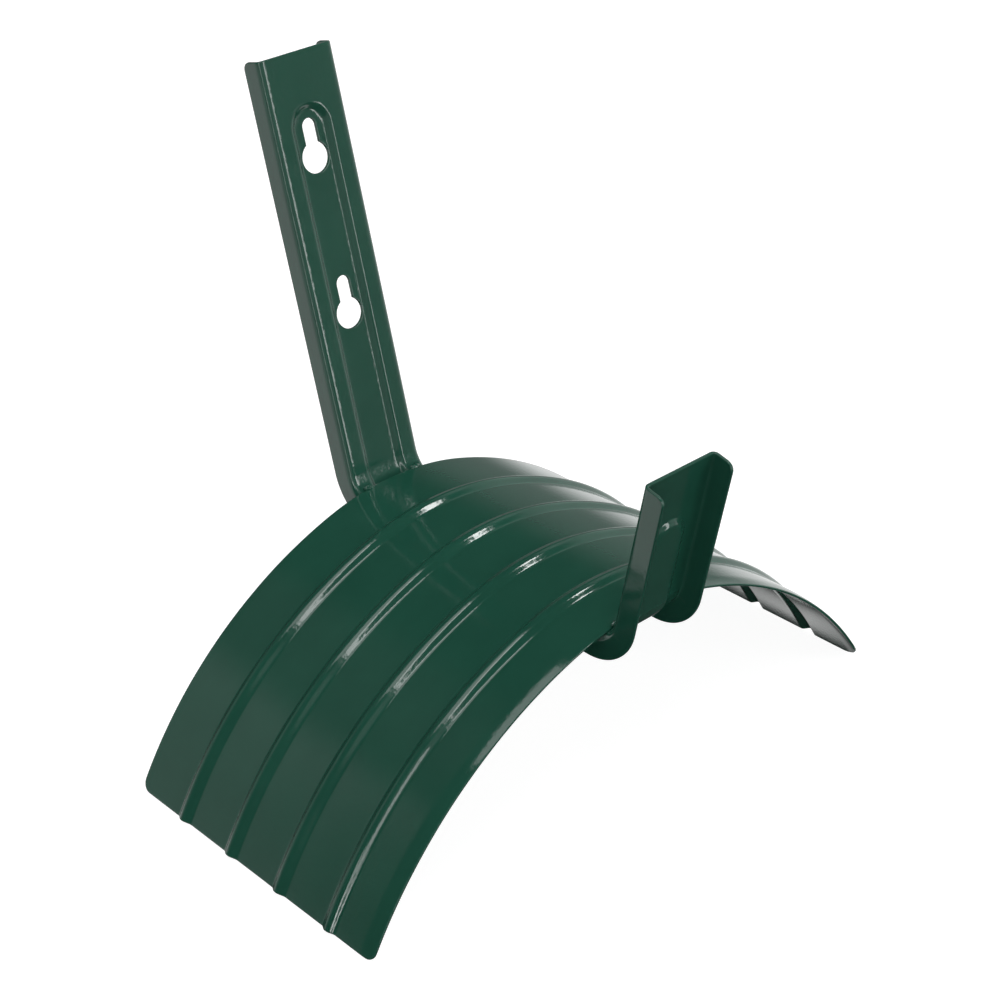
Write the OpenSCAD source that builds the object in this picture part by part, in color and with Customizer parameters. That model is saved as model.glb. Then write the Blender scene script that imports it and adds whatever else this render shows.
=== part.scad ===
// Wall hose hanger: a channel bracket bent to a hook, and an arched saddle that the hose is coiled over.
// Millimetres. +X is to the right, +Y into the wall and +Z up. The wall is the plane y = 0.
// The origin lies on the wall, midway between the two keyholes.

/* [Bracket strip] */
// Width over the two flanges
strip_w = 32; // [28:0.5:40]
// Sheet thickness of the bracket
strip_t = 1.2; // [1:0.1:1.6]
// Depth of the channel, from the web's face to the flanges' free edges
flange_d = 9.2; // [8:0.1:14]
// Outside radius of the folds between web and flanges
fold_r = 2.2; // [1.8:0.1:3]
// Radius that rounds each flange's corners at both ends of the strip
flange_corner_r = 3; // [1:0.5:4]

/* [Bracket shape] */
// Length of the upright, from its top to where the planes of upright and arm meet
upright_len = 159.6; // [130:0.1:200]
// Length of the lip, from its top to where the planes of lip and arm meet
lip_len = 66.2; // [50:0.1:90]
// Angle through which the strip turns at each of its two bends
bend_angle = 76.788; // [70:0.001:85]
// Radius of the two bends on the hook's inner side
bend_r = 12; // [10:0.5:16]

/* [Stiffening channel] */
// Width of the pressed channel at the web's face
press_w = 16.4; // [14.8:0.2:20]
// Width of the pressed channel's flat floor
press_floor_w = 12.6; // [12:0.2:14.4]
// Depth of the pressed channel
press_d = 1.4; // [0.8:0.1:2]
// Distance from the top of the upright to the pressed channel's end
press_top_gap = 18; // [15:0.5:22]
// Distance from the top of the lip to the pressed channel's end
press_lip_gap = 21; // [16:0.5:26]

/* [Keyholes] */
// Distance between the two keyholes
keyhole_pitch = 56.5; // [50:0.5:64]
// Distance from the top of the upright to the upper keyhole's round hole
keyhole_top_gap = 37; // [36:0.5:40]
// Diameter of the round hole that a screw's head passes
head_hole_d = 11.2; // [9:0.1:11.6]
// Width of the slot that holds the screw's shank
shank_slot_w = 5.6; // [4:0.1:6]
// Distance from the round hole's centre to the centre of the slot's closed end
slot_rise = 11; // [9:0.5:12]

/* [Saddle] */
// Depth of the saddle from its back edge to its front edge
saddle_d = 125; // [110:0.5:150]
// Sheet thickness of the saddle
saddle_t = 1; // [0.8:0.1:1.4]
// Outside radius of the arch at its crown
crown_r = 102; // [90:1:130]
// Angle from the top of the arch to each end of the crown
crown_angle = 16.81; // [10:0.01:20]
// Outside radius of the arch beyond the crown
side_r = 154; // [132:1:180]
// Angle through which each side turns beyond the crown
side_angle = 44.016; // [35:0.001:55]
// Radius that rounds the saddle's four corners
saddle_corner_r = 4; // [2:0.5:8]
// Height of the saddle's underside above the arm, over the edges of the web
saddle_lift = 2.9; // [2:0.1:4]

/* [Saddle ridges] */
// Number of ridges that run along the arch
ridge_count = 4; // [2:1:5]
// Distance from one ridge to the next
ridge_pitch = 26.2; // [18:0.1:28]
// Distance from the saddle's back edge to the middle of the first ridge
ridge_first = 25.3; // [15:0.1:30]
// Width of a ridge at its foot
ridge_w = 6.2; // [5:0.1:10]
// Width of a ridge's flat top
ridge_top_w = 1.4; // [1:0.1:3]
// Height of a ridge
ridge_h = 1.7; // [1.2:0.1:2.2]

/* [Weld beads] */
// Length of each bead along the saddle's edge
bead_len = 4; // [3:0.5:5]
// Diameter of each bead before it fills the corner that it lies in
bead_d = 2.2; // [1.6:0.1:3]

/* [Hidden] */
$fn = 96;
// Facets of the large shapes that trim the weld beads
fine_fn = 720;
// Gap where the saddle's edges rest on the bracket
seat_gap = 0.03;
// How far a cutting shape runs past the surface that it cuts
over = 1;
// How far a curved stretch is drawn past the plane that it is trimmed to
trim_angle = 4;

enamel = [0.09, 0.27, 0.21];

// The bracket is worked out along its own length. In a stretch's own frame the strip runs down -z,
// x is across it, y = 0 is the face on the hook's inner side, and the flanges reach to y = flange_d.
bend_run = bend_r * tan(bend_angle / 2);
fold_in_r = fold_r - strip_t;
land_x = strip_w / 2 - fold_r;
upright_top = keyhole_pitch / 2 + keyhole_top_gap;
upright_foot = upright_top - upright_len + bend_run;
lip_run = lip_len - bend_run;
// The saddle's lower edges touch the bends this far before the planes meet
edge_reach = bend_run - sqrt(pow(bend_r, 2) - pow(bend_r - saddle_lift, 2));
arm_run = saddle_d + 2 * (edge_reach + seat_gap) - 2 * bend_run;

// The pressed channel's walls slope, and on the outside the sheet's thickness widens it
press_slope = (press_w - press_floor_w) / 2 / press_d;
press_wall_angle = atan(1 / press_slope);
press_spread = strip_t * tan(press_wall_angle / 2);

// The arch: its underside clears the web's edges by the lift, so its top stands higher
under_r = crown_r - saddle_t;
crown_sag = under_r - sqrt(pow(under_r, 2) - pow(land_x, 2));
saddle_top = saddle_lift + crown_sag + saddle_t;
// From the start of the arm's straight stretch back to the saddle's back edge
saddle_back = bend_run - edge_reach - seat_gap;
// A ridge's flanks slope, so on the inside the sheet's thickness narrows it
ridge_flank_angle = atan2(ridge_h, (ridge_w - ridge_top_w) / 2);
ridge_narrowing = 2 * saddle_t * tan(ridge_flank_angle / 2);
// The beads' middle, as an angle from the top of the arch
bead_angle = asin((press_w / 2 + land_x) / 2 / crown_r);

// The channel's outline, with the depth along x and the width along y
module channel_outer() {
    translate([fold_r, -strip_w / 2]) square([flange_d - fold_r, strip_w]);
    translate([0, -land_x]) square([fold_r, 2 * land_x]);
    for (side = [-1, 1]) translate([fold_r, side * land_x]) circle(r = fold_r);
}

module channel_inner() {
    inner_w = strip_w - 2 * strip_t;
    translate([fold_r, -inner_w / 2]) square([flange_d, inner_w]);
    translate([strip_t, -land_x]) square([fold_r, 2 * land_x]);
    for (side = [-1, 1]) translate([fold_r, side * land_x]) circle(r = fold_in_r);
}

module channel() {
    difference() {
        channel_outer();
        channel_inner();
    }
}

// The pressed channel's cross-section from depth y0 to y1, with its half width at depth 0 given
module press_section(half_w, y0, y1) {
    polygon([
        [y0, half_w - y0 * press_slope],
        [y1, half_w - y1 * press_slope],
        [y1, -half_w + y1 * press_slope],
        [y0, -half_w + y0 * press_slope]
    ]);
}

// What the press takes away on the web's face, and what it pushes out behind
module press_cut() press_section(press_w / 2, -over, press_d);

module press_fill() {
    press_section(press_w / 2 + press_spread + strip_t * press_slope, strip_t - over / 4, strip_t + press_d);
}

// A strip's cross-section drawn out along a straight stretch of a given length
module straight(length) {
    translate([0, 0, -length]) rotate([0, 0, 90]) linear_extrude(length) children();
}

// A strip's cross-section turned through a bend that starts at z = 0, and trimmed where the next stretch starts
module bend() {
    difference() {
        translate([0, -bend_r, 0]) rotate([-90, 0, 90])
            rotate_extrude(angle = bend_angle + trim_angle) translate([bend_r, 0]) children();
        past_bend() translate([-strip_w / 2 - over, -2 * over, -bend_r])
            cube([strip_w + 2 * over, flange_d + 4 * over, bend_r]);
    }
}

// Moves on from the start of a bend to the start of the stretch that follows it
module past_bend() {
    translate([0, -bend_r, 0]) rotate([-bend_angle, 0, 0]) translate([0, bend_r, 0]) children();
}

module from_upright() translate([0, -flange_d, upright_foot]) children();
module from_arm() from_upright() past_bend() children();
module from_lip() from_arm() translate([0, 0, -arm_run]) past_bend() children();

// The cross-section along the whole strip, with the given gap left at each end
module whole_strip(top_gap, lip_gap) {
    from_upright() {
        top = upright_top - upright_foot - top_gap;
        translate([0, 0, top]) straight(top) children();
        bend() children();
    }
    from_arm() {
        straight(arm_run) children();
        translate([0, 0, -arm_run]) bend() children();
    }
    from_lip() straight(lip_run - lip_gap) children();
}

// A round end of the pressed channel, as half a cone from depth y0 to y1 that lies below z = 0
module press_end(half_w, y0, y1) {
    rotate([-90, 0, 0]) rotate_extrude(angle = 180) polygon([
        [0, y0],
        [half_w - y0 * press_slope, y0],
        [half_w - y1 * press_slope, y1],
        [0, y1]
    ]);
}

module press_ends(half_w, y0, y1) {
    from_upright() translate([0, 0, upright_top - upright_foot - press_top_gap - press_w / 2])
        rotate([0, 180, 0]) press_end(half_w, y0, y1);
    from_lip() translate([0, 0, -lip_run + press_lip_gap + press_w / 2]) press_end(half_w, y0, y1);
}

module pressed_cut() {
    whole_strip(press_top_gap + press_w / 2, press_lip_gap + press_w / 2) press_cut();
    press_ends(press_w / 2, -over, press_d);
}

module pressed_fill() {
    half_w = press_w / 2 + press_spread + strip_t * press_slope;
    whole_strip(press_top_gap + press_w / 2, press_lip_gap + press_w / 2) press_fill();
    press_ends(half_w, strip_t - over / 4, strip_t + press_d);
}

// Rounds the flanges' free corners at an end of the strip that faces +z at z = 0
module flange_corners() {
    rotate([0, -90, 0]) linear_extrude(strip_w + 2 * over, center = true) difference() {
        translate([-flange_corner_r, flange_d - flange_corner_r]) square(flange_corner_r + over);
        translate([-flange_corner_r, flange_d - flange_corner_r]) circle(r = flange_corner_r);
    }
}

// A keyhole through the web, centred on its round hole
module keyhole() {
    reach = strip_t + press_d + 2 * over;
    translate([0, -over, 0]) rotate([-90, 0, 0]) {
        cylinder(h = reach, d = head_hole_d);
        translate([0, -slot_rise, 0]) cylinder(h = reach, d = shank_slot_w);
        translate([-shank_slot_w / 2, -slot_rise, 0]) cube([shank_slot_w, slot_rise, reach]);
    }
}

module bracket() {
    color(enamel) difference() {
        union() {
            difference() {
                whole_strip(0, 0) channel();
                pressed_cut();
            }
            difference() {
                pressed_fill();
                pressed_cut();
            }
        }
        translate([0, -flange_d, upright_top]) flange_corners();
        from_lip() translate([0, 0, -lip_run]) rotate([0, 180, 0]) flange_corners();
        for (side = [-1, 1]) translate([0, -flange_d, side * keyhole_pitch / 2]) keyhole();
    }
}

// A ridge's profile, with height along x from a face of the sheet and the way back along y
function ridge_profile(face, middle, narrowing) = [
    [face, middle - (ridge_w - narrowing) / 2],
    [face + ridge_h, middle - (ridge_top_w - narrowing) / 2],
    [face + ridge_h, middle + (ridge_top_w - narrowing) / 2],
    [face, middle + (ridge_w - narrowing) / 2],
];

// A face of the sheet from the saddle's front edge to its back edge
function face_profile(face, narrowing) = [
    [face, 0],
    for (i = [ridge_count - 1 : -1 : 0])
        each ridge_profile(face, saddle_d - ridge_first - i * ridge_pitch, narrowing),
    [face, saddle_d],
];

function reversed(points) = [for (i = [len(points) - 1 : -1 : 0]) points[i]];

module saddle_section() {
    polygon(concat(face_profile(0, 0), reversed(face_profile(-saddle_t, ridge_narrowing))));
}

// The frame of the saddle: the arch's crown centre is the origin, -y is up and the depth runs down -z
module from_crown() {
    from_arm() translate([0, crown_r - saddle_top, saddle_back]) children();
}

// A stretch of the arch that starts at an angle from the top and has its centre at the origin
module arch(radius, angle_from, angle_turned) {
    translate([0, 0, -saddle_d]) rotate_extrude(start = angle_from - 90, angle = angle_turned)
        translate([radius, 0]) saddle_section();
}

// Turns to where the crown ends on the +x side, so that this place is straight up from the centre
module at_crown_end() rotate([0, 0, crown_angle]) children();

module crown() {
    side = 2 * crown_r;
    difference() {
        arch(crown_r, -crown_angle - trim_angle, 2 * (crown_angle + trim_angle));
        for (m = [0, 1]) mirror([m, 0, 0]) at_crown_end() translate([0, -side, -saddle_d - over])
            cube([side, side, saddle_d + 2 * over]);
    }
}

// What lies past the sheet's end and its two round corners: x runs out along the sheet from its end
module past_sheet_end() {
    c = saddle_corner_r;
    past = side_r * tan(trim_angle) + over;
    rotate([90, 0, 0]) linear_extrude(2 * (ridge_h + saddle_t + over), center = true) difference() {
        translate([-c, -saddle_d - over]) square([c + past, saddle_d + 2 * over]);
        translate([-2 * c, -saddle_d + c]) square([2 * c, saddle_d - 2 * c]);
        translate([-2 * c, -saddle_d]) square([c, saddle_d]);
        for (y = [-c, -saddle_d + c]) translate([-c, y]) circle(r = c);
    }
}

module side_arch() {
    difference() {
        arch(side_r, 0, side_angle + trim_angle);
        rotate([0, 0, side_angle]) translate([0, -side_r, 0]) past_sheet_end();
    }
}

module saddle() {
    color(enamel) from_crown() {
        crown();
        for (m = [0, 1]) mirror([m, 0, 0]) at_crown_end() translate([0, side_r - crown_r, 0]) side_arch();
    }
}

// The beads on both sides of the pressed channel, along the saddle's upper edge at z = 0
module bead_pair() {
    for (side = [-1, 1]) rotate([0, 0, side * bead_angle]) translate([-bead_len / 2, -crown_r, 0])
        rotate([0, 90, 0]) cylinder(h = bead_len, d = bead_d);
}

// The saddle's sheet as a plain tube, and the room inside the bend at the saddle's back edge
module sheet_tube() {
    translate([0, 0, -saddle_d]) difference() {
        cylinder(h = saddle_d, r = crown_r, $fn = fine_fn);
        translate([0, 0, -over]) cylinder(h = saddle_d + 2 * over, r = under_r, $fn = fine_fn);
    }
}

module inside_bend() {
    translate([0, -bend_r, 0]) rotate([0, 90, 0]) cylinder(h = strip_w, r = bend_r, center = true, $fn = fine_fn);
}

module weld_beads() {
    color(enamel) for (front = [0, 1]) intersection() {
        from_arm() translate([0, 0, -front * arm_run]) inside_bend();
        difference() {
            from_crown() translate([0, 0, -front * saddle_d]) bead_pair();
            from_crown() sheet_tube();
        }
    }
}

bracket();
saddle();
weld_beads();
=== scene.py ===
import math
import bpy
import bmesh
import numpy as np
from mathutils import Matrix, Vector


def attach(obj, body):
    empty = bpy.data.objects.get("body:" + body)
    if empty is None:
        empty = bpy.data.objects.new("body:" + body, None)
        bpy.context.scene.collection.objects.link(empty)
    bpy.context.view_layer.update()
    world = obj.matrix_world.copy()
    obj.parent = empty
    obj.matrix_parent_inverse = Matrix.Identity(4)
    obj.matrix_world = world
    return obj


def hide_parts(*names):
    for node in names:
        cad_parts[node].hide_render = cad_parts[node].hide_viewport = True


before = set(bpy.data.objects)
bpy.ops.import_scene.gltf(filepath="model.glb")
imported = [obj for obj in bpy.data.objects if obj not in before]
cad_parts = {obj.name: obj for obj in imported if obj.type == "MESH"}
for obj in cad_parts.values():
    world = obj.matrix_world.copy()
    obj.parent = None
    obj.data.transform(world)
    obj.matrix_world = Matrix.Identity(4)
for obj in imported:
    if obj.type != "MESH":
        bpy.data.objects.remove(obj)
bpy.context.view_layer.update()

# Sizes in millimetres and angles in radians, the same as the CAD part's
STRIP_W = 32.0
STRIP_T = 1.2
FLANGE_D = 9.2
FOLD_R = 2.2
FLANGE_CORNER_R = 3.0
UPRIGHT_LEN = 159.6
LIP_LEN = 66.2
BEND = math.radians(76.788)
BEND_R = 12.0
PRESS_W = 16.4
PRESS_D = 1.4
PRESS_TOP_GAP = 18.0
PRESS_LIP_GAP = 21.0
KEYHOLE_PITCH = 56.5
KEYHOLE_TOP_GAP = 37.0
HEAD_HOLE_R = 5.6
SLOT_R = 2.8
SLOT_RISE = 11.0
SADDLE_D = 125.0
SADDLE_T = 1.0
CROWN_R = 102.0
CROWN_A = math.radians(16.81)
SIDE_R = 154.0
SIDE_A = math.radians(44.016)
SADDLE_CORNER_R = 4.0
SADDLE_LIFT = 2.9
RIDGE_PITCH = 26.2
RIDGE_FIRST = 25.3
RIDGE_W = 6.2
RIDGE_TOP_W = 1.4
RIDGE_H = 1.7
SEAT_GAP = 0.03

# Lengths that follow from them
MM = 0.001
LAND_X = STRIP_W / 2 - FOLD_R
BEND_RUN = BEND_R * math.tan(BEND / 2)
BEND_ARC = BEND_R * BEND
UPRIGHT_TOP = KEYHOLE_PITCH / 2 + KEYHOLE_TOP_GAP
UPRIGHT_RUN = UPRIGHT_LEN - BEND_RUN
UPRIGHT_FOOT = UPRIGHT_TOP - UPRIGHT_RUN
LIP_RUN = LIP_LEN - BEND_RUN
EDGE_REACH = BEND_RUN - math.sqrt(BEND_R ** 2 - (BEND_R - SADDLE_LIFT) ** 2)
ARM_RUN = SADDLE_D + 2 * (EDGE_REACH + SEAT_GAP) - 2 * BEND_RUN
STRIP_LEN = UPRIGHT_RUN + BEND_ARC + ARM_RUN + BEND_ARC + LIP_RUN
UNDER_R = CROWN_R - SADDLE_T
SADDLE_TOP = SADDLE_LIFT + UNDER_R - math.sqrt(UNDER_R ** 2 - LAND_X ** 2) + SADDLE_T
SADDLE_BACK = BEND_RUN - EDGE_REACH - SEAT_GAP
CROWN_LEN = CROWN_R * CROWN_A
ARCH_LEN = CROWN_LEN + SIDE_R * SIDE_A


# Frames along the bent strip, with points as arrays in millimetres
def past_bend(p):
    y = p[..., 1] + BEND_R
    z = p[..., 2]
    c, s = math.cos(BEND), math.sin(BEND)
    return np.stack([p[..., 0], y * c + z * s - BEND_R, z * c - y * s], -1)


def from_upright(p):
    return p + np.array([0.0, -FLANGE_D, UPRIGHT_FOOT])


def from_arm(p):
    return from_upright(past_bend(p))


def from_second_bend(p):
    return from_arm(p + np.array([0.0, 0.0, -ARM_RUN]))


def from_lip(p):
    return from_second_bend(past_bend(p))


def from_crown(p):
    return from_arm(p + np.array([0.0, CROWN_R - SADDLE_TOP, SADDLE_BACK]))


# Small helpers
RIPPLE_WAVES = 7
RIPPLE_TIGHTNESS = 0.22
# A whole turn, rounded, from which random starts are drawn
TURN = 6.28


def smooth_step(t):
    t = np.clip(t, 0.0, 1.0)
    return 0.5 - 0.5 * np.cos(math.pi * t)


def ripple(a, b, seed):
    # Long low waves of the pressed sheet, about -1 to 1
    rng = np.random.default_rng(seed)
    out = np.zeros(np.broadcast(a, b).shape)
    for _ in range(RIPPLE_WAVES):
        ka, kb = rng.uniform(-RIPPLE_TIGHTNESS, RIPPLE_TIGHTNESS, 2)
        out += np.sin(ka * a + kb * b + rng.uniform(0, TURN))
    return out / RIPPLE_WAVES


def spread(start, *stretches):
    # Places from start on, where each stretch is its far end and its largest step
    places = [start]
    for end, step in stretches:
        begin = places[-1]
        count = max(1, math.ceil(abs(end - begin) / step - 1e-6))
        places += [begin + (end - begin) * k / count for k in range(1, count + 1)]
    return np.array(places)


def nearest(values, wanted):
    return min(range(len(values)), key=lambda k: abs(values[k] - wanted))


def link_piece(name, mesh):
    for face in mesh.polygons:
        face.use_smooth = True
    piece = bpy.data.objects.new(name, mesh)
    bpy.context.scene.collection.objects.link(piece)
    return piece


# Sheet metal from a grid of mid-surface points
ROUND_STEPS = 4
HOLE_RIM = 0.22
HOLE_MARGIN = 0.12


def grid_normals(grid):
    across = grid[1:, :-1] - grid[:-1, :-1] + grid[1:, 1:] - grid[:-1, 1:]
    along = grid[:-1, 1:] - grid[:-1, :-1] + grid[1:, 1:] - grid[1:, :-1]
    cell = np.cross(across, along)
    cell /= np.maximum(np.linalg.norm(cell, axis=-1, keepdims=True), 1e-12)
    normals = np.zeros_like(grid)
    normals[1:, 1:] += cell
    normals[1:, :-1] += cell
    normals[:-1, 1:] += cell
    normals[:-1, :-1] += cell
    return normals / np.linalg.norm(normals, axis=-1, keepdims=True)


def quarter_round(step):
    # Sine and cosine at a step of a quarter circle
    angle = math.pi / 2 * step / ROUND_STEPS
    return math.sin(angle), math.cos(angle)


def grid_outline(mid, normals):
    # The grid's outermost places, once round, and the outward direction in the sheet at each
    rows, cols = mid.shape[:2]
    ring = [(0, j) for j in range(cols - 1)] + [(i, cols - 1) for i in range(rows - 1)]
    ring += [(rows - 1, j) for j in range(cols - 1, 0, -1)] + [(i, 0) for i in range(rows - 1, 0, -1)]
    i, j = np.array(ring).T
    p = mid[i, j]
    n = normals[i, j]
    tangent = np.roll(p, -1, 0) - np.roll(p, 1, 0)
    tangent /= np.linalg.norm(tangent, axis=1, keepdims=True)
    outward = np.cross(n, tangent)
    inner = mid[np.clip(i, 1, rows - 2), np.clip(j, 1, cols - 2)]
    if np.sum(outward * (p - inner)) < 0:
        outward = -outward
    outward -= n * np.sum(outward * n, 1, keepdims=True)
    outward /= np.linalg.norm(outward, axis=1, keepdims=True)
    clockwise = np.dot(np.cross(tangent[0], n[0]), outward[0]) > 0
    return (i, j), outward, clockwise


class Skin:
    # The closed skin of one sheet: points in millimetres, faces, and outlines of flat webs to fill
    def __init__(self, mid, thick, edge_r):
        self.mid = mid
        self.normals = grid_normals(mid)
        self.half = thick / 2
        self.edge_r = edge_r
        self.points = []
        self.faces = []
        self.webs = []

    def add(self, points):
        start = len(self.points)
        self.points.extend(points)
        return list(range(start, len(self.points)))

    def join(self, loops, flip=False):
        # Quads between each closed loop and the next
        for a, b in zip(loops[:-1], loops[1:]):
            count = len(a)
            for k in range(count):
                after = (k + 1) % count
                quad = [a[k], b[k], b[after], a[after]]
                self.faces.append(quad[::-1] if flip else quad)

    def add_side(self, sign, holes):
        # One face of the sheet, without the cells that the holes take out of the grid
        rows, cols = self.mid.shape[:2]
        ids = np.array(self.add((self.mid + self.normals * (sign * self.half)).reshape(-1, 3)))
        ids = ids.reshape(rows, cols)
        skip = np.zeros((rows - 1, cols - 1), bool)
        for cells, _ in holes:
            for (i0, i1), (j0, j1) in cells:
                skip[i0:i1, j0:j1] = True
        for i, j in np.argwhere(~skip):
            quad = [ids[i, j], ids[i + 1, j], ids[i + 1, j + 1], ids[i, j + 1]]
            self.faces.append(quad if sign > 0 else quad[::-1])
        return ids

    def add_border(self, sides):
        # The rounded edge round the whole sheet
        ring, outward, clockwise = grid_outline(self.mid, self.normals)
        p = self.mid[ring]
        n = self.normals[ring]
        flat = self.half - self.edge_r
        turns = [(step, 1.0) for step in range(1, ROUND_STEPS + 1)]
        turns += [(step, -1.0) for step in range(ROUND_STEPS, 0, -1)]
        loops = [list(sides[0][ring])]
        for step, sign in turns:
            out, rise = quarter_round(step)
            height = flat + self.edge_r * rise
            loops.append(self.add(p + outward * (self.edge_r * out) + n * (sign * height)))
        loops.append(list(sides[1][ring]))
        self.join(loops, clockwise)

    def add_hole(self, sides, cells, outline):
        # A rounded rim, and a flat web between it and the grid on each side of the sheet
        profile = [(HOLE_RIM + HOLE_MARGIN, self.half)]
        for step in range(ROUND_STEPS + 1):
            out, rise = quarter_round(step)
            profile.append((HOLE_RIM * (1 - out), self.half - HOLE_RIM + HOLE_RIM * rise))
        profile += [(grow, -height) for grow, height in reversed(profile)]
        loops = [self.add(outline(grow, height)) for grow, height in profile]
        self.join(loops)
        border = hole_border(cells)
        for ids, loop in ((sides[0], loops[0]), (sides[1], loops[-1])):
            rim = [(loop[k], loop[(k + 1) % len(loop)]) for k in range(len(loop))]
            self.webs.append([(ids[a], ids[b]) for a, b in border] + rim)

    def make_mesh(self, name):
        in_faces = {v for face in self.faces for v in face}
        in_webs = {v for web in self.webs for edge in web for v in edge}
        used = sorted(in_faces | in_webs)
        bm = bmesh.new()
        vert = {v: bm.verts.new(Vector(self.points[v]) * MM) for v in used}
        for face in self.faces:
            bm.faces.new([vert[v] for v in face])
        for web in self.webs:
            ends = [(vert[a], vert[b]) for a, b in web]
            edges = [bm.edges.get(pair) or bm.edges.new(pair) for pair in ends]
            bmesh.ops.triangle_fill(bm, use_beauty=True, use_dissolve=False, edges=edges)
        bmesh.ops.recalc_face_normals(bm, faces=bm.faces[:])
        mesh = bpy.data.meshes.new(name)
        bm.to_mesh(mesh)
        bm.free()
        return mesh


def hole_border(cells):
    # Grid edges between the cells taken out and the cells that stay
    inside = set()
    for (i0, i1), (j0, j1) in cells:
        inside |= {(i, j) for i in range(i0, i1) for j in range(j0, j1)}
    border = []
    for i, j in inside:
        if (i - 1, j) not in inside:
            border.append(((i, j), (i, j + 1)))
        if (i + 1, j) not in inside:
            border.append(((i + 1, j), (i + 1, j + 1)))
        if (i, j - 1) not in inside:
            border.append(((i, j), (i + 1, j)))
        if (i, j + 1) not in inside:
            border.append(((i, j + 1), (i + 1, j + 1)))
    return sorted(border)


def sheet_piece(name, mid, thick, edge_r, holes=()):
    # mid: grid of mid-surface points, its outer rows edge_r inside the real outline.
    # holes: (ranges of rows and columns left out of the grid, outline function), in flat places.
    skin = Skin(mid, thick, edge_r)
    sides = [skin.add_side(sign, holes) for sign in (1.0, -1.0)]
    skin.add_border(sides)
    for cells, outline in holes:
        skin.add_hole(sides, cells, outline)
    return link_piece(name, skin.make_mesh(name))


# The bracket: one strip, with rows of points along it and columns across it
STRIP_EDGE_R = 0.42
STRIP_MID = STRIP_T / 2
# Half width of the pressed channel at its foot, and the run of its flank, both with their roundings
PRESS_FOOT = 8.75
PRESS_RUN = 2.75
# Distances of the first rows from the end of the grid, close enough to draw the flanges' corners
END_ROWS = (0.35, 0.8, 1.4, 2.1, 2.9, 4.0)
END_ZONE = 7.0
BEND_ROWS = 64
FOLD_ROWS = 10
# Columns: places down a flange as shares of its height, and across the web in millimetres
FLANGE_PLACES = (0.0, 0.04, 0.1, 0.2, 0.32, 0.44, 0.56, 0.68, 0.8, 0.92)
BESIDE_PRESS = 8.9
BESIDE_ROUND_HOLE = 5.99
BESIDE_SLOT = 3.4


def keyhole_cuts(depth):
    # Lengths from the strip's top at which the grid is cut round a keyhole: over its slot, between
    # slot and round hole, and under the round hole, each with a little room for the hole's margin
    return [depth - SLOT_RISE - SLOT_R - 0.5, depth - HEAD_HOLE_R - 0.8, depth + HEAD_HOLE_R + 0.6]


UPPER_CUTS = keyhole_cuts(KEYHOLE_TOP_GAP)
LOWER_CUTS = keyhole_cuts(KEYHOLE_TOP_GAP + KEYHOLE_PITCH)


def upright_lengths():
    # Finest from the pressed channel's round end to the upper keyhole's slot
    ends = [(STRIP_EDGE_R + d, 1.0) for d in END_ROWS]
    return spread(
        STRIP_EDGE_R, *ends, (END_ZONE, 1.0), (PRESS_TOP_GAP - 1.0, 2.5), (UPPER_CUTS[0], 0.35),
        (PRESS_TOP_GAP + PRESS_W / 2 + 0.5, 0.35), (UPPER_CUTS[1], 1.0), (UPPER_CUTS[2], 3.0),
        (LOWER_CUTS[0], 2.0), (LOWER_CUTS[1], 2.0), (LOWER_CUTS[2], 3.0), (UPRIGHT_RUN, 2.0))


def lip_lengths():
    # Finest at the pressed channel's round end
    press_end = LIP_RUN - PRESS_LIP_GAP
    last = LIP_RUN - STRIP_EDGE_R
    ends = [(last - d, 1.2) for d in END_ROWS[-2::-1]]
    return spread(0.0, (press_end - PRESS_W / 2 - 0.5, 1.5), (press_end + 1.0, 0.35),
                  (LIP_RUN - END_ZONE, 2.5), (last - END_ROWS[-1], 1.0), *ends, (last, 1.2))


def strip_rows():
    # Each row: stretch of the strip, height or bend angle in it, length from the strip's top
    turns = [BEND * k / BEND_ROWS for k in range(1, BEND_ROWS + 1)]
    rows = [("upright", UPRIGHT_RUN - v, v) for v in upright_lengths()]
    base = UPRIGHT_RUN
    rows += [("first_bend", a, base + BEND_R * a) for a in turns]
    base += BEND_ARC
    rows += [("arm", -v, base + v) for v in spread(0.0, (ARM_RUN, 2.5))[1:]]
    base += ARM_RUN
    rows += [("second_bend", a, base + BEND_R * a) for a in turns]
    base += BEND_ARC
    rows += [("lip", -v, base + v) for v in lip_lengths()[1:]]
    return rows


def strip_columns():
    # Each column: part of the section, place in it
    web = spread(-LAND_X, (-BESIDE_PRESS, 0.9), (-BESIDE_ROUND_HOLE, 0.2), (-BESIDE_SLOT, 1.3),
                 (BESIDE_SLOT, 1.15), (BESIDE_ROUND_HOLE, 1.3), (BESIDE_PRESS, 0.2), (LAND_X, 0.9))
    fold = [k / FOLD_ROWS for k in range(FOLD_ROWS + 1)]
    cols = [("left", t) for t in FLANGE_PLACES]
    cols += [("left_fold", t) for t in fold]
    cols += [("web", x) for x in web[1:-1]]
    cols += [("right_fold", t) for t in fold]
    cols += [("right", t) for t in reversed(FLANGE_PLACES)]
    return cols


def press_depth(x, s):
    first = PRESS_TOP_GAP + PRESS_W / 2
    last = STRIP_LEN - PRESS_LIP_GAP - PRESS_W / 2
    beyond = max(first - s, s - last, 0.0)
    return PRESS_D * smooth_step((PRESS_FOOT - math.hypot(x, beyond)) / PRESS_RUN)


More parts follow.
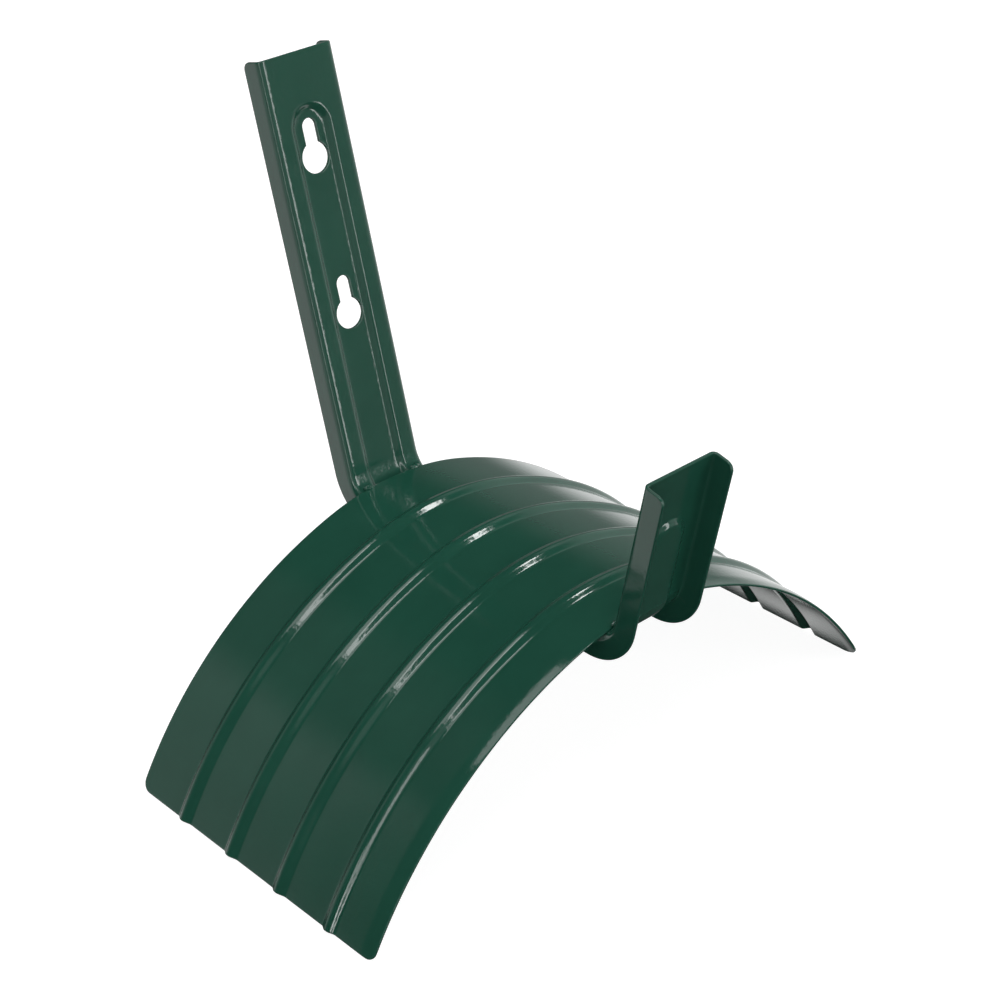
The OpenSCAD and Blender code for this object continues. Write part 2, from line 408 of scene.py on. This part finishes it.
def section_point(section, place, s):
    # Across and through the section: x, and y from the outside of the web
    if section == "web":
        return place, STRIP_MID + press_depth(abs(place), s)
    if section.endswith("fold"):
        angle = math.pi / 2 * (place if section == "left_fold" else 1 - place)
        mid_r = FOLD_R - STRIP_MID
        x = LAND_X + mid_r * math.cos(angle)
        y = FOLD_R - mid_r * math.sin(angle)
    else:
        from_end = min(s, STRIP_LEN - s) - STRIP_EDGE_R
        corner_r = FLANGE_CORNER_R - STRIP_EDGE_R
        free_edge = FLANGE_D - STRIP_EDGE_R
        if from_end < corner_r:
            free_edge -= corner_r - math.sqrt(max(corner_r ** 2 - (corner_r - from_end) ** 2, 0.0))
        x = STRIP_W / 2 - STRIP_MID
        y = free_edge + (FOLD_R - free_edge) * place
    return (-x if section.startswith("left") else x), y


def strip_point(stretch, place, x, y):
    if stretch in ("first_bend", "second_bend"):
        reach = y + BEND_R
        p = np.array([x, reach * math.cos(place) - BEND_R, -reach * math.sin(place)])
        return from_upright(p) if stretch == "first_bend" else from_second_bend(p)
    p = np.array([x, y, place])
    return {"upright": from_upright, "arm": from_arm, "lip": from_lip}[stretch](p)


def keyhole_outline(z_round, side):
    # A function for the keyhole's outline on the pressed channel's floor: how far it is grown
    # outward, and its height over the sheet's middle. side is 1 where the grid's normals point
    # away from the wall, and -1 where they point to it.
    round_points = 60
    top_points = 24
    flank_points = 5

    def outline(grow, height):
        big = HEAD_HOLE_R + grow
        small = SLOT_R + grow
        meet = math.asin(small / big)
        points = []
        for k in range(round_points + 1):
            a = math.pi / 2 + meet + (2 * math.pi - 2 * meet) * k / round_points
            points.append((big * math.cos(a), big * math.sin(a)))
        low = points[-1][1]
        flank = [low + (SLOT_RISE - low) * k / flank_points for k in range(1, flank_points)]
        points += [(small, z) for z in flank]
        for k in range(top_points + 1):
            a = math.pi * k / top_points
            points.append((small * math.cos(a), SLOT_RISE + small * math.sin(a)))
        points += [(-small, z) for z in reversed(flank)]
        y = -FLANGE_D + STRIP_MID + PRESS_D - height * side
        return [np.array([x, y, z_round + z]) for x, z in points]

    return outline


def make_strip():
    rows = strip_rows()
    cols = strip_columns()
    mid = []
    for stretch, place, s in rows:
        mid.append([strip_point(stretch, place, *section_point(sec, t, s)) for sec, t in cols])
    mid = np.array(mid)

    lengths = [s for _, _, s in rows]
    widths = [t if sec == "web" else math.inf for sec, t in cols]
    beside_holes = (-BESIDE_ROUND_HOLE, -BESIDE_SLOT, BESIDE_SLOT, BESIDE_ROUND_HOLE)
    column = [nearest(widths, x) for x in beside_holes]
    beside_slot = (nearest(lengths, UPPER_CUTS[0]), column[0] + 1)
    side = 1.0 if grid_normals(mid)[beside_slot][1] < 0 else -1.0
    holes = []
    for cuts, z_round in ((UPPER_CUTS, KEYHOLE_PITCH / 2), (LOWER_CUTS, -KEYHOLE_PITCH / 2)):
        row = [nearest(lengths, cut) for cut in cuts]
        slot_cells = ((row[0], row[1]), (column[1], column[2]))
        round_cells = ((row[1], row[2]), (column[0], column[3]))
        holes.append(((slot_cells, round_cells), keyhole_outline(z_round, side)))
    return sheet_piece("channel_strip", mid, STRIP_T, STRIP_EDGE_R, holes)


# The saddle: rows along the arch, columns from its back edge to its front edge
SADDLE_EDGE_R = 0.36
SADDLE_END_ROWS = (3.9, 3.0, 2.3, 1.7, 1.15, 0.7, 0.35, 0.12, 0.0)
# Each ridge runs off toward the right end, and lies within this reach of its own line
RIDGE_RUN_OFF = 4.5
RUN_OFF_START = 40.0
RIDGE_REACH = 3.9
# Crests and feet are rounded by averaging over this much to each side
RIDGE_ROUNDING = 0.5
ROUNDING_SAMPLES = 9
# The front ridge's front flank is shorter from here on toward the left end, and so steeper
FRONT_RIDGE = 3
STEEP_START = 76.0
STEEP_FADE = 8.0
STEEP_CUT = 0.6
# As photographed, the front corners differ: the left one is tight and the right one wide
FRONT_LEFT_R = 3.0
FRONT_RIGHT_R = 9.0
FRONT_ZONE = 15.0
EDGE_ZONE = 6.5
TURN_DOWN = 0.6
TURN_DOWN_RUN = 6.0
RIPPLE_H = 0.045
RIPPLE_SEED = 5


def ridge_height(u, s):
    run_off = RIDGE_RUN_OFF * smooth_step((u - RUN_OFF_START) / (ARCH_LEN - RUN_OFF_START))
    cut = STEEP_CUT * smooth_step((-u - STEEP_START) / STEEP_FADE)
    height = np.zeros(np.broadcast(u, s).shape)
    for ridge in range(4):
        for shift in np.linspace(-RIDGE_ROUNDING, RIDGE_ROUNDING, ROUNDING_SAMPLES):
            away = s - (RIDGE_FIRST + ridge * RIDGE_PITCH - run_off) + shift
            steep = (away > 0) & (ridge == FRONT_RIDGE)
            run = (RIDGE_W - RIDGE_TOP_W) / 2 - np.where(steep, cut, 0.0)
            share = np.clip(1 - (np.abs(away) - RIDGE_TOP_W / 2) / run, 0.0, 1.0)
            height += RIDGE_H / ROUNDING_SAMPLES * share
    return height


def arch_point(u, s, height):
    # u: length along the arch from its middle; s: length from the back edge
    along = np.abs(u)
    on_crown = along < CROWN_LEN
    t = np.where(on_crown, along / CROWN_R, CROWN_A + (along - CROWN_LEN) / SIDE_R)
    side_x = CROWN_R * math.sin(CROWN_A) + SIDE_R * (np.sin(t) - math.sin(CROWN_A))
    side_drop = CROWN_R * (1 - math.cos(CROWN_A)) + SIDE_R * (math.cos(CROWN_A) - np.cos(t))
    x = np.where(on_crown, CROWN_R * np.sin(t), side_x) + height * np.sin(t)
    drop = np.where(on_crown, CROWN_R * (1 - np.cos(t)), side_drop) - height * np.cos(t)
    return from_crown(np.stack([np.sign(u) * x, drop - CROWN_R, -s], -1))


def saddle_rows():
    ends = [ARCH_LEN - SADDLE_EDGE_R - d for d in SADDLE_END_ROWS]
    right = np.concatenate([spread(0.0, (ARCH_LEN - FRONT_RIGHT_R, 2.0), (ARCH_LEN - 5.0, 1.2)), ends])
    return np.concatenate([-right[::-1], right[1:]])


def saddle_columns():
    stretches = [(SADDLE_EDGE_R + 0.3, 0.3), (4.0, 0.8), (EDGE_ZONE, 1.2)]
    for ridge in range(4):
        line = RIDGE_FIRST + ridge * RIDGE_PITCH
        stretches += [(line - RIDGE_RUN_OFF - RIDGE_REACH, 1.6), (line + RIDGE_REACH, 0.3)]
    last = SADDLE_D - SADDLE_EDGE_R
    stretches += [(SADDLE_D - EDGE_ZONE, 1.6), (last - 0.3, 0.6), (last, 0.3)]
    return spread(SADDLE_EDGE_R, *stretches)


def corner_cut(u, radius):
    # How far a rounded corner draws the edge in, at each row's distance from the sheet's end
    corner = radius - SADDLE_EDGE_R
    near = np.clip(ARCH_LEN - SADDLE_EDGE_R - np.abs(u), 0.0, corner)
    return corner - np.sqrt(np.maximum(corner ** 2 - (corner - near) ** 2, 0.0))


def saddle_grid():
    u, s = np.meshgrid(saddle_rows(), saddle_columns(), indexing="ij")
    in_front = np.clip((s - (SADDLE_D - FRONT_ZONE)) / (FRONT_ZONE - SADDLE_EDGE_R), 0.0, 1.0)
    at_back = np.clip((EDGE_ZONE - s) / (EDGE_ZONE - SADDLE_EDGE_R), 0.0, 1.0)
    front_cut = np.where(u > 0, corner_cut(u, FRONT_RIGHT_R), corner_cut(u, FRONT_LEFT_R))
    s = s - front_cut * in_front + corner_cut(u, SADDLE_CORNER_R) * at_back
    past_front = np.clip((s - (SADDLE_D - TURN_DOWN_RUN)) / TURN_DOWN_RUN, 0.0, 1.0)
    height = ridge_height(u, s) - SADDLE_T / 2 - TURN_DOWN * past_front ** 2
    height += RIPPLE_H * ripple(u, s, RIPPLE_SEED)
    return arch_point(u, s, height)


# Weld beads between the saddle's edges and the bends, on both sides of the channel
# Half a bead's length, width and height, and in each direction how tight its lumps are and how high
BEAD_HALF = (2.05, 1.05, 1.05)
BEAD_LUMPS = ((9, 0.07), (7, 0.05), (8, 0.04))
# How far the sheet slopes at a bead, which lies beside the saddle's crest
BEAD_TILT = math.radians(7.8)
# The front beads lie beyond this y, in metres
FRONT_BEADS_Y = -0.06


def bead_centre(side, in_front):
    # The middle of the CAD part's bead, in metres
    points = np.array([v.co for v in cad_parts["weld_beads"].data.vertices])
    mine = points[(np.sign(points[:, 0]) == side) & ((points[:, 1] < FRONT_BEADS_Y) == in_front)]
    return (Vector(mine.min(0)) + Vector(mine.max(0))) / 2


def make_bead(side, in_front):
    # Each bead has its own seed, and so its own lumps
    rng = np.random.default_rng(11 + side * 3 + (7 if in_front else 0))
    starts = rng.uniform(0, TURN, 3)
    bm = bmesh.new()
    bmesh.ops.create_uvsphere(bm, u_segments=28, v_segments=16, radius=1.0)
    for v in bm.verts:
        lump = 1.0
        for place, start, (tight, high) in zip(v.co, starts, BEAD_LUMPS):
            lump += high * math.sin(tight * place + start)
        long, wide, thick = [half * place for half, place in zip(BEAD_HALF, v.co)]
        v.co = Vector((long, wide * lump, thick * lump))
    name = f"weld_bead_{'front' if in_front else 'back'}_{'right' if side > 0 else 'left'}"
    mesh = bpy.data.meshes.new(name)
    bm.to_mesh(mesh)
    bm.free()
    lean = Matrix.Rotation(BEND - math.pi / 2, 4, "X") @ Matrix.Rotation(-side * BEAD_TILT, 4, "Y")
    mesh.transform(Matrix.Translation(bead_centre(side, in_front)) @ lean @ Matrix.Scale(MM, 4))
    return link_piece(name, mesh)


# Shader helpers
def shader_node(tree, kind, **sockets):
    node = tree.nodes.new(kind)
    for name, value in sockets.items():
        node.inputs[name].default_value = value
    return node


def math_node(tree, kind, a, b=0.0):
    node = tree.nodes.new("ShaderNodeMath")
    node.operation = kind
    for k, value in enumerate((a, b)):
        if isinstance(value, float):
            node.inputs[k].default_value = value
        else:
            tree.links.new(value, node.inputs[k])
    return node.outputs["Value"]


def grey(value):
    return (value, value, value, 1)


# Glossy dark green enamel with orange peel, and a paler thin coat at the cut edges
DEEP_GREEN = (0.0152, 0.087, 0.057, 1)
LIGHT_GREEN = (0.0184, 0.099, 0.065, 1)
THIN_GREEN = (0.03, 0.095, 0.066, 1)
THIN_COAT_SHARE = 0.35
EDGE_POINTINESS = (0.54, 0.68)
CLOUD_RANGE = (0.3, 0.72)
ENAMEL_ROUGHNESS = (0.07, 0.11)


def enamel_colour(tree, place):
    cloud = shader_node(tree, "ShaderNodeTexNoise", Scale=38.0, Detail=3.0, Roughness=0.55)
    tree.links.new(place, cloud.inputs["Vector"])
    ramp = tree.nodes.new("ShaderNodeValToRGB")
    for stop, position, colour in zip(ramp.color_ramp.elements, CLOUD_RANGE, (DEEP_GREEN, LIGHT_GREEN)):
        stop.position = position
        stop.color = colour
    tree.links.new(cloud.outputs["Fac"], ramp.inputs["Fac"])
    geometry = tree.nodes.new("ShaderNodeNewGeometry")
    edge = tree.nodes.new("ShaderNodeMapRange")
    edge.inputs["From Min"].default_value = EDGE_POINTINESS[0]
    edge.inputs["From Max"].default_value = EDGE_POINTINESS[1]
    edge.inputs["To Min"].default_value = 0.0
    edge.inputs["To Max"].default_value = THIN_COAT_SHARE
    tree.links.new(geometry.outputs["Pointiness"], edge.inputs["Value"])
    mix = tree.nodes.new("ShaderNodeMix")
    mix.data_type = "RGBA"
    mix.inputs["B"].default_value = THIN_GREEN
    tree.links.new(edge.outputs["Result"], mix.inputs["Factor"])
    tree.links.new(ramp.outputs["Color"], mix.inputs["A"])
    return mix.outputs["Result"]


def enamel_roughness(tree, place):
    patches = shader_node(tree, "ShaderNodeTexNoise", Scale=140.0, Detail=2.0, Roughness=0.5)
    tree.links.new(place, patches.inputs["Vector"])
    span = tree.nodes.new("ShaderNodeMapRange")
    span.inputs["To Min"].default_value = ENAMEL_ROUGHNESS[0]
    span.inputs["To Max"].default_value = ENAMEL_ROUGHNESS[1]
    tree.links.new(patches.outputs["Fac"], span.inputs["Value"])
    return span.outputs["Result"]


def orange_peel(tree, place):
    peel = shader_node(tree, "ShaderNodeTexNoise", Scale=750.0, Detail=1.0, Roughness=0.4)
    tree.links.new(place, peel.inputs["Vector"])
    bump = shader_node(tree, "ShaderNodeBump", Strength=0.12, Distance=0.0002)
    tree.links.new(peel.outputs["Fac"], bump.inputs["Height"])
    return bump.outputs["Normal"]


def make_enamel():
    mat = bpy.data.materials.new("green_enamel_gloss")
    mat.use_nodes = True
    tree = mat.node_tree
    surface = tree.nodes["Principled BSDF"].inputs
    surface["IOR"].default_value = 1.5
    surface["Coat Weight"].default_value = 0.15
    surface["Coat Roughness"].default_value = 0.03
    place = tree.nodes.new("ShaderNodeTexCoord").outputs["Object"]
    tree.links.new(enamel_colour(tree, place), surface["Base Color"])
    tree.links.new(enamel_roughness(tree, place), surface["Roughness"])
    peel = orange_peel(tree, place)
    tree.links.new(peel, surface["Normal"])
    tree.links.new(peel, surface["Coat Normal"])
    return mat


# The camera stands where the photograph was taken from, and is rolled as it was
CAMERA_PLACE = Vector((-0.431601, -0.633112, 0.167511))
CAMERA_TARGET = Vector((-0.001838, -0.074464, -0.088843))
CAMERA_ROLL = math.radians(-11.2614)
CAMERA_LENS = 79.298


def make_camera():
    data = bpy.data.cameras.new("camera")
    data.sensor_width = 36.0
    data.lens = CAMERA_LENS
    data.clip_end = 50.0
    camera = bpy.data.objects.new("camera", data)
    bpy.context.scene.collection.objects.link(camera)
    aim = (CAMERA_TARGET - CAMERA_PLACE).to_track_quat("-Z", "Y").to_matrix().to_4x4()
    roll = Matrix.Rotation(CAMERA_ROLL, 4, "Z")
    camera.matrix_world = Matrix.Translation(CAMERA_PLACE) @ aim @ roll
    bpy.context.scene.camera = camera


# The floor is square, and lies a little under the saddle's four end corners
FLOOR_HALF = 6.0
FLOOR_GAP = 0.7
# What the camera sees it glow with, its tone, and its darker tone as the enamel mirrors it, which is
# painted shade of the floor under the hanger
FLOOR_GLOW = 0.93
FLOOR_TONE = 0.36
FLOOR_MIRRORED_PAINTED_SHADE = 0.08
# Its painted shadow, as the enamel mirrors it, stays close to the hanger, in round patches with a place
# and a radius in metres
PAINTED_SHADOW_PATCHES = [((0, -0.25, -0.2), 0.165), ((-0.03, -0.1, -0.19), 0.095)]
PAINTED_SHADOW_FADE = 1.2


def floor_matrix(mid):
    ends = np.array([mid[i, j] for i in (0, -1) for j in (0, -1)])
    centre = ends.mean(0)
    normal = np.linalg.svd(ends - centre)[2][2]
    normal *= np.sign(normal[2])
    lowest = min(np.min((mid.reshape(-1, 3) - centre) @ normal), 0.0)
    centre = centre + normal * (lowest - FLOOR_GAP)
    turn = Vector(normal).to_track_quat("Z", "Y").to_matrix().to_4x4()
    return Matrix.Translation(Vector(centre * MM)) @ turn


def away_from_painted_shadow(tree, to_floor):
    # 0 on the painted shadow patches and 1 away from them, by the nearest patch
    place = tree.nodes.new("ShaderNodeTexCoord").outputs["Object"]
    closest = None
    for patch, radius in PAINTED_SHADOW_PATCHES:
        distance = tree.nodes.new("ShaderNodeVectorMath")
        distance.operation = "DISTANCE"
        distance.inputs[1].default_value = to_floor @ Vector(patch)
        tree.links.new(place, distance.inputs[0])
        share = math_node(tree, "DIVIDE", distance.outputs["Value"], radius)
        closest = share if closest is None else math_node(tree, "MINIMUM", closest, share)
    away = tree.nodes.new("ShaderNodeMapRange")
    away.inputs["From Min"].default_value = 1.0
    away.inputs["From Max"].default_value = PAINTED_SHADOW_FADE
    tree.links.new(closest, away.inputs["Value"])
    return away.outputs["Result"]


def floor_material(to_floor):
    mat = bpy.data.materials.new("pale_floor")
    mat.use_nodes = True
    tree = mat.node_tree
    bsdf = tree.nodes["Principled BSDF"]
    bsdf.inputs["Roughness"].default_value = 0.8
    bsdf.inputs["Specular IOR Level"].default_value = 0.0
    bsdf.inputs["Emission Color"].default_value = grey(FLOOR_GLOW)
    path = tree.nodes.new("ShaderNodeLightPath")
    # Rays that the enamel mirrors see the floor at a darker tone, as painted shade
    tone = tree.nodes.new("ShaderNodeMix")
    tone.data_type = "RGBA"
    tone.inputs["A"].default_value = grey(FLOOR_TONE)
    tone.inputs["B"].default_value = grey(FLOOR_MIRRORED_PAINTED_SHADE)
    tree.links.new(path.outputs["Is Glossy Ray"], tone.inputs["Factor"])
    tree.links.new(tone.outputs["Result"], bsdf.inputs["Base Color"])
    tree.links.new(path.outputs["Is Camera Ray"], bsdf.inputs["Emission Strength"])

    # On the painted shadow patches the enamel mirrors the floor's dark tone; away from them, it mirrors
    # the studio's panels and not the floor
    away = away_from_painted_shadow(tree, to_floor)
    glossy = math_node(tree, "MULTIPLY", away, path.outputs["Is Glossy Ray"])
    clear = tree.nodes.new("ShaderNodeBsdfTransparent")
    both = tree.nodes.new("ShaderNodeMixShader")
    tree.links.new(glossy, both.inputs["Fac"])
    tree.links.new(bsdf.outputs["BSDF"], both.inputs[1])
    tree.links.new(clear.outputs["BSDF"], both.inputs[2])
    tree.links.new(both.outputs["Shader"], tree.nodes["Material Output"].inputs["Surface"])
    return mat


def make_floor(mid):
    mesh = bpy.data.meshes.new("floor")
    corners = [(-1, -1), (1, -1), (1, 1), (-1, 1)]
    mesh.from_pydata([(FLOOR_HALF * x, FLOOR_HALF * y, 0) for x, y in corners], [], [(0, 1, 2, 3)])
    floor = bpy.data.objects.new("floor", mesh)
    floor.matrix_world = floor_matrix(mid)
    bpy.context.scene.collection.objects.link(floor)
    mesh.materials.append(floor_material(floor.matrix_world.inverted()))


# The studio round the hanger, as soft panels in the world. An angle round the hanger is 0 at the
# front, 90 on its left and 180 at the wall, and a height is above the horizon, both in degrees.
# Each panel has its first and last angle, its lowest and highest height, its glow (1 is white),
# and the half width of its soft edge.
PANELS = {
    "beside_camera_left": (49.5, 53, -28, 15, 8.0, 1.2),
    "beside_camera_right": (-31, -22, -28, 15, 6.0, 1.5),
    "behind_camera": (-20, 46, -28, 40, 0.42, 3.0),
    "front_right": (-70, -36, -28, 20, 0.6, 5.0),
    "right": (-116, -62, -25, 34, 0.8, 8.0),
    "right_high": (-118, -66, 34, 56, 0.5, 8.0),
    "right_low": (-142, -112, -30, 0, 0.95, 8.0),
    "back_right": (-150, -112, -2, 30, 0.22, 10.0),
    "below_right": (-165, -60, -62, -38, 1.0, 5.0),
    "left_high": (132, 165, 40, 62, 0.12, 8.0),
    "left_wall": (127, 156, 0, 42, 0.4, 5.0),
    "low_wall": (104, 190, -28, 6, 0.85, 6.0),
    "low_back": (-190, -146, -28, 16, 0.3, 6.0),
    "low_left": (68, 104, -28, -3, 0.7, 4.0),
    "lamp_front_right": (-53, -42, 46, 53.5, 17.0, 1.5),
}
STUDIO_DIM = 0.03
# A slanting strip of light in front lies between two sums of angle and height
SLANT_SUM = (44.5, 52.0)
SLANT_ANGLE = (20.0, 52.0)
SLANT_GLOW = 3.5
SLANT_SUM_SOFT = 1.5
SLANT_ANGLE_SOFT = 2.0
# The ceiling lamp, in the plane one unit above the hanger: x from left to right, y from its slanted
# front edge to the wall's side. It is brightest in a band along the front edge.
CEILING_X = (-0.53, 0.06)
CEILING_FRONT = -0.505
CEILING_SLANT = 1.05
CEILING_BACK = 0.22
CEILING_GLOW = 2.2
CEILING_FRONT_BAND = 0.2
CEILING_FRONT_GLOW = 4.8
CEILING_SOFT = 0.03
CEILING_BACK_SOFT = 0.04
CEILING_BAND_SOFT = 0.1
# Farther off than any edge of the ceiling lamp
NO_END = 9.0
# Below this height the plane of the ceiling lamp would be endlessly far
LOWEST_Z = 0.05


def within(tree, source, low, high, soft):
    # 1 between low and high, with soft edges
    edges = []
    for place, at_low, at_high in ((low, 0.0, 1.0), (high, 1.0, 0.0)):
        edge = tree.nodes.new("ShaderNodeMapRange")
        edge.interpolation_type = "SMOOTHSTEP"
        edge.inputs["From Min"].default_value = place - soft
        edge.inputs["From Max"].default_value = place + soft
        edge.inputs["To Min"].default_value = at_low
        edge.inputs["To Max"].default_value = at_high
        tree.links.new(source, edge.inputs["Value"])
        edges.append(edge.outputs["Result"])
    return math_node(tree, "MULTIPLY", *edges)


def panels_light(tree, angle, height):
    level = STUDIO_DIM
    for first, last, low, high, glow, soft in PANELS.values():
        beside = within(tree, angle, first, last, soft)
        shape = math_node(tree, "MULTIPLY", beside, within(tree, height, low, high, soft))
        level = math_node(tree, "ADD", level, math_node(tree, "MULTIPLY", shape, glow))
    return level


def slanting_light(tree, angle, height):
    total = math_node(tree, "ADD", angle, height)
    shape = math_node(tree, "MULTIPLY", within(tree, total, *SLANT_SUM, SLANT_SUM_SOFT),
                      within(tree, angle, *SLANT_ANGLE, SLANT_ANGLE_SOFT))
    return math_node(tree, "MULTIPLY", shape, SLANT_GLOW)


def ceiling_light(tree, direction):
    above = math_node(tree, "MAXIMUM", direction["Z"], LOWEST_Z)
    x = math_node(tree, "DIVIDE", direction["X"], above)
    y = math_node(tree, "DIVIDE", direction["Y"], above)
    front = math_node(tree, "ADD", math_node(tree, "MULTIPLY", x, CEILING_SLANT), CEILING_FRONT)
    from_front = math_node(tree, "SUBTRACT", y, front)
    shape = math_node(tree, "MULTIPLY", within(tree, x, *CEILING_X, CEILING_SOFT),
                      within(tree, from_front, 0.0, NO_END, CEILING_SOFT))
    back = within(tree, y, -NO_END, CEILING_BACK, CEILING_BACK_SOFT)
    shape = math_node(tree, "MULTIPLY", shape, back)
    band = within(tree, from_front, -NO_END, CEILING_FRONT_BAND, CEILING_BAND_SOFT)
    glow = math_node(tree, "ADD", math_node(tree, "MULTIPLY", band, CEILING_FRONT_GLOW), CEILING_GLOW)
    return math_node(tree, "MULTIPLY", shape, glow)


def make_world():
    world = bpy.data.worlds.new("studio")
    bpy.context.scene.world = world
    world.use_nodes = True
    tree = world.node_tree
    coord = tree.nodes.new("ShaderNodeTexCoord")
    parts = tree.nodes.new("ShaderNodeSeparateXYZ")
    tree.links.new(coord.outputs["Generated"], parts.inputs["Vector"])
    direction = parts.outputs
    to_left = math_node(tree, "MULTIPLY", direction["X"], -1.0)
    to_front = math_node(tree, "MULTIPLY", direction["Y"], -1.0)
    angle = math_node(tree, "DEGREES", math_node(tree, "ARCTAN2", to_left, to_front))
    height = math_node(tree, "DEGREES", math_node(tree, "ARCSINE", direction["Z"]))
    level = panels_light(tree, angle, height)
    level = math_node(tree, "ADD", level, slanting_light(tree, angle, height))
    level = math_node(tree, "ADD", level, ceiling_light(tree, direction))

    # The camera itself sees plain white behind the floor
    path = tree.nodes.new("ShaderNodeLightPath")
    seen = tree.nodes.new("ShaderNodeMix")
    seen.inputs["B"].default_value = 1.0
    tree.links.new(path.outputs["Is Camera Ray"], seen.inputs["Factor"])
    tree.links.new(level, seen.inputs["A"])
    background = tree.nodes["Background"]
    background.inputs["Color"].default_value = grey(1.0)
    tree.links.new(seen.outputs["Result"], background.inputs["Strength"])


# The pieces, each in place of its CAD node
strip = make_strip()
saddle_mid = saddle_grid()
arch = sheet_piece("ridged_saddle", saddle_mid, SADDLE_T, SADDLE_EDGE_R)
beads = [make_bead(side, in_front) for side in (-1, 1) for in_front in (False, True)]
green = make_enamel()
for piece, cad in [(strip, "bracket"), (arch, "saddle")] + [(bead, "weld_beads") for bead in beads]:
    piece.data.materials.clear()
    piece.data.materials.append(green)
    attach(piece, "root")
    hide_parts(cad)
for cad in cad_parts.values():
    cad.data.materials.clear()
    cad.data.materials.append(green)

# What is round the pieces, and the plain view
make_camera()
make_floor(saddle_mid)
make_world()
view = bpy.context.scene.view_settings
view.view_transform = "Standard"
